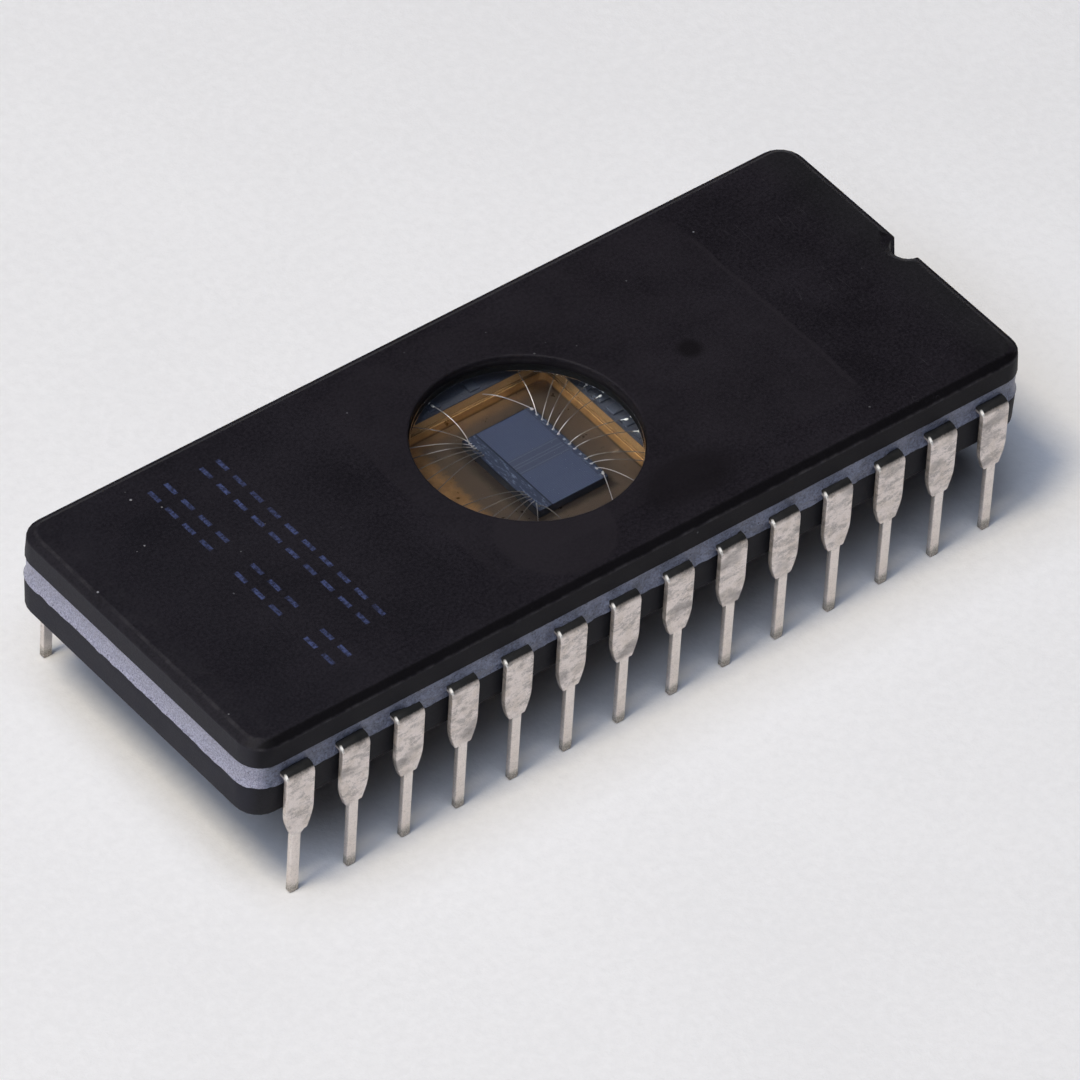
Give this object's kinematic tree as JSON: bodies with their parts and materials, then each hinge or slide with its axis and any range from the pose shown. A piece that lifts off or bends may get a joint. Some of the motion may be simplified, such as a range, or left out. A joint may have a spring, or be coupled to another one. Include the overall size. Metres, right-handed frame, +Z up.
{
  "type": "windowed ceramic dual in-line integrated circuit",
  "caption": "Dual in-line chip in dark fused ceramic, with a round glass window over its die in a gold-lined cavity, stepped tinned leads and a notch at the pin 1 end.",
  "frame": {"origin": "under the middle of the body, at the height of the lead tips", "axes": "+X along the body towards the notch at the pin 1 end, +Y towards the row of pins 1 to 14, +Z up, away from the board"},
  "size_m": [0.0368, 0.0154, 0.008],
  "materials": {
    "dark_ceramic": "matt, fine-grained pressed ceramic, near black with a brown tinge",
    "sealing_glass": "opaque grey-blue fused glass, grainy and pitted",
    "window_glass": "clear, polished",
    "tinned_lead": "dipped tin over nickel-iron, mottled, dull at the tips",
    "cavity_gold": "fired matt gold",
    "silicon": "blue-grey silicon with a fine regular pattern",
    "bond_aluminium": "bright drawn wire"
  },
  "bodies": {
    "root": {"ceramic_base": "dark_ceramic", "ceramic_cap": "dark_ceramic", "sealing_glass": "sealing_glass", "window_lens": "window_glass", "gold_cavity_lining": "cavity_gold", "silicon_die": "silicon", "lead_01": "tinned_lead", "lead_02": "tinned_lead", "lead_03": "tinned_lead", "lead_04": "tinned_lead", "lead_05": "tinned_lead", "lead_06": "tinned_lead", "lead_07": "tinned_lead", "lead_08": "tinned_lead", "lead_09": "tinned_lead", "lead_10": "tinned_lead", "lead_11": "tinned_lead", "lead_12": "tinned_lead", "lead_13": "tinned_lead", "lead_14": "tinned_lead", "lead_15": "tinned_lead", "lead_16": "tinned_lead", "lead_17": "tinned_lead", "lead_18": "tinned_lead", "lead_19": "tinned_lead", "lead_20": "tinned_lead", "lead_21": "tinned_lead", "lead_22": "tinned_lead", "lead_23": "tinned_lead", "lead_24": "tinned_lead", "lead_25": "tinned_lead", "lead_26": "tinned_lead", "lead_27": "tinned_lead", "lead_28": "tinned_lead", "bond_wire_02": "bond_aluminium", "bond_wire_03": "bond_aluminium", "bond_wire_04": "bond_aluminium", "bond_wire_05": "bond_aluminium", "bond_wire_06": "bond_aluminium", "bond_wire_07": "bond_aluminium", "bond_wire_08": "bond_aluminium", "bond_wire_09": "bond_aluminium", "bond_wire_10": "bond_aluminium", "bond_wire_11": "bond_aluminium", "bond_wire_12": "bond_aluminium", "bond_wire_13": "bond_aluminium", "bond_wire_14": "bond_aluminium", "bond_wire_15": "bond_aluminium", "bond_wire_16": "bond_aluminium", "bond_wire_17": "bond_aluminium", "bond_wire_18": "bond_aluminium", "bond_wire_19": "bond_aluminium", "bond_wire_20": "bond_aluminium", "bond_wire_21": "bond_aluminium", "bond_wire_22": "bond_aluminium", "bond_wire_23": "bond_aluminium", "bond_wire_24": "bond_aluminium", "bond_wire_25": "bond_aluminium", "bond_wire_27": "bond_aluminium", "bond_wire_28": "bond_aluminium"}
  },
  "joints": []
}
